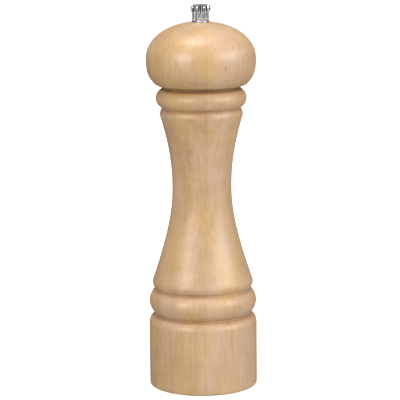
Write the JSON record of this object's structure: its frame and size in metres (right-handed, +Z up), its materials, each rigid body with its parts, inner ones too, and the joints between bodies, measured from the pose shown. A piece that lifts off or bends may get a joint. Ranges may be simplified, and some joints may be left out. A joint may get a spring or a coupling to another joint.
{
  "type": "pepper mill",
  "caption": "Turned wooden pepper mill: ball-shaped head that turns, fluted metal knob that sets the grind, and a steel burr mechanism in the foot.",
  "frame": {"origin": "centre of the foot, on the surface that the mill stands on", "axes": "+Z up along the mill's axis; +X along the crossbar in the foot"},
  "size_m": [0.0578, 0.0578, 0.203],
  "materials": {
    "maple": "turned and sanded, thin clear satin coat, fine upright grain",
    "knob_chrome": "bright chrome plating",
    "screw_plating": "bright nickel plating",
    "plated_steel": "pressed sheet steel, dull zinc plating",
    "shaft_steel": "drawn square bar, satin",
    "burr_steel": "hardened steel, dark, cut teeth",
    "spring_wire": "drawn spring wire, satin",
    "brass": "turned brass"
  },
  "bodies": {
    "mill_body": {"body": "maple", "crossbar": "plated_steel", "crossbar_bush": "brass", "crossbar_screws": "screw_plating", "stator_shell": "plated_steel", "stator": "burr_steel", "bridge": "plated_steel", "bridge_rivets": "plated_steel"},
    "spring_set": {"thrust_washer": "brass", "spring": "spring_wire"},
    "spindle": {"shaft": "shaft_steel", "rotor": "burr_steel", "rotor_clip": "burr_steel", "spring_washer": "plated_steel"},
    "head": {"head": "maple", "drive_plate": "plated_steel", "drive_plate_screws": "screw_plating"},
    "knob_washer": {"knob_washer": "knob_chrome"},
    "knob": {"knob": "knob_chrome"}
  },
  "joints": [
    {"name": "head_turn", "type": "hinge", "parent": "mill_body", "child": "spring_set", "pos_m": [0, 0, 0.036], "axis": [0, 0, 1], "continuous": true},
    {"name": "grind_adjust", "type": "slide", "parent": "spring_set", "child": "spindle", "axis": [0, 0, 1], "range_m": [-0.0012, 0.0008], "deforming": ["spring"]},
    {"name": "head_lift", "type": "slide", "parent": "spring_set", "child": "head", "axis": [0, 0, 1], "range_m": [0, 0.075]},
    {"name": "knob_lift", "type": "slide", "parent": "head", "child": "knob_washer", "axis": [0, 0, 1], "range_m": [0, 0.02]},
    {"name": "knob_turn", "type": "hinge", "parent": "knob_washer", "child": "knob", "pos_m": [0, 0, 0.1948], "axis": [0, 0, 1], "range_deg": [-361, 541]}
  ],
  "couplings": [
    {"joint": "knob_turn", "follows": "grind_adjust", "rad_per_m": -7854}
  ]
}
